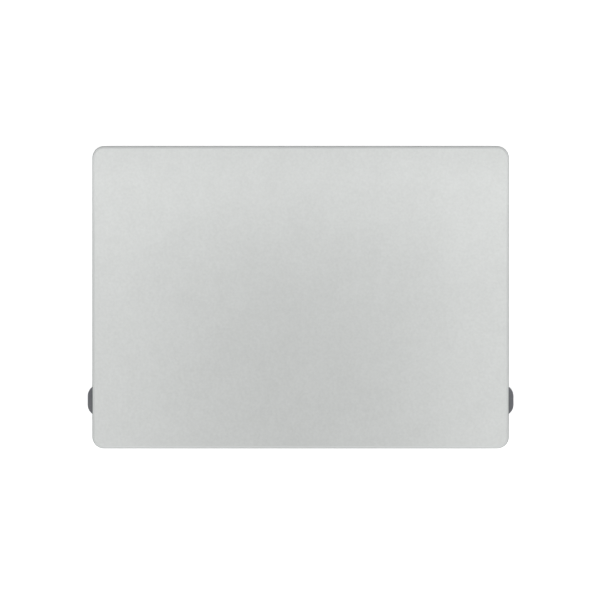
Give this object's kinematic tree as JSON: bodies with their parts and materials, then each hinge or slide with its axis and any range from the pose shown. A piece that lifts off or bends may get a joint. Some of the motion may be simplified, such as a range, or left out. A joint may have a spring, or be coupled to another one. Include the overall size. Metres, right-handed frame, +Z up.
{
  "type": "trackpad",
  "caption": "Laptop trackpad module: bevelled satin glass plate on a sensor board and dark support plate with stop ears, leaf-hinged at the rear, with a click switch under the front.",
  "frame": {"origin": "middle of the bounding box in plan, on the plane of the rail's and the adjusting screw's underside", "axes": "+X to the right along the front edge, +Y to the rear edge where the hinge is, +Z up out of the glass"},
  "size_m": [0.1078, 0.0762, 0.004],
  "materials": {
    "etched_glass": "satin etched",
    "adhesive": "matte",
    "board_mask": "satin",
    "dark_coat": "satin",
    "plated_steel": "satin",
    "spring_steel": "brushed",
    "rivet_steel": "polished",
    "screw_steel": "blackened",
    "bush_brass": "satin",
    "gold_contact": "polished",
    "switch_moulding": "satin",
    "plunger_nylon": "satin",
    "socket_nylon": "satin",
    "latch_nylon": "satin",
    "chip_moulding": "matte",
    "crystal_can": "satin",
    "ferrite": "matte",
    "ceramic": "satin",
    "resistor_glaze": "gloss"
  },
  "bodies": {
    "mount": {"hinge_rail": "plated_steel", "hinge_leaf_left": "spring_steel", "hinge_leaf_right": "spring_steel", "rail_rivets": "rivet_steel", "mount_shims": "plated_steel"},
    "pad": {"cover_glass": "etched_glass", "glass_film": "adhesive", "sensor_board": "board_mask", "plate_film": "adhesive", "support_plate": "dark_coat", "leaf_rivets": "rivet_steel", "switch_base": "switch_moulding", "switch_terminals": "gold_contact", "switch_dome": "spring_steel", "switch_cover": "plated_steel", "lever_rivets": "rivet_steel", "cable_socket_body": "socket_nylon", "cable_socket_contacts": "gold_contact", "cable_socket_anchors": "plated_steel", "keyboard_socket_body": "socket_nylon", "keyboard_socket_contacts": "gold_contact", "keyboard_socket_anchors": "plated_steel", "touch_controller": "chip_moulding", "main_processor": "chip_moulding", "memory_chip": "chip_moulding", "clock_crystal": "crystal_can", "power_regulator": "chip_moulding", "power_inductor": "ferrite", "chip_capacitors": "ceramic", "chip_resistors": "resistor_glaze", "surge_diodes": "chip_moulding"},
    "lever": {"click_lever": "spring_steel", "lever_bush": "bush_brass"},
    "adjuster": {"adjusting_screw": "screw_steel"},
    "plunger": {"switch_plunger": "plunger_nylon"},
    "cable_latch": {"cable_socket_latch": "latch_nylon"},
    "keyboard_latch": {"keyboard_socket_latch": "latch_nylon"}
  },
  "joints": [
    {"name": "pad_press", "type": "hinge", "parent": "mount", "child": "pad", "pos_m": [0, 0.02429, 0.0009], "axis": [1, 0, 0], "range_deg": [0, 0.25], "stiffness_Nm_per_rad": 15, "springref_deg": -0.11, "deforming": ["hinge_leaf_left", "hinge_leaf_right"]},
    {"name": "lever_lift", "type": "hinge", "parent": "pad", "child": "lever", "pos_m": [0, -0.0191, 0.0008], "axis": [-1, 0, 0], "range_deg": [0, 1.24], "deforming": ["click_lever"]},
    {"name": "plunger_travel", "type": "slide", "parent": "pad", "child": "plunger", "axis": [0, 0, 1], "range_m": [0, 0.00024], "deforming": ["switch_dome"]},
    {"name": "adjuster_turn", "type": "hinge", "parent": "lever", "child": "adjuster", "pos_m": [0, -0.0301, 0.0006], "axis": [0, 0, 1], "range_deg": [-180, 180]},
    {"name": "cable_latch_flip", "type": "hinge", "parent": "pad", "child": "cable_latch", "pos_m": [0.0105, 0.01165, 0.0013], "axis": [-1, 0, 0], "range_deg": [0, 90]},
    {"name": "keyboard_latch_flip", "type": "hinge", "parent": "pad", "child": "keyboard_latch", "pos_m": [-0.006, 0.01165, 0.0013], "axis": [-1, 0, 0], "range_deg": [0, 90]}
  ],
  "couplings": [
    {"joint": "lever_lift", "follows": "pad_press", "ratio": 4.9441},
    {"joint": "plunger_travel", "follows": "pad_press", "m_per_rad": 0.054385}
  ]
}
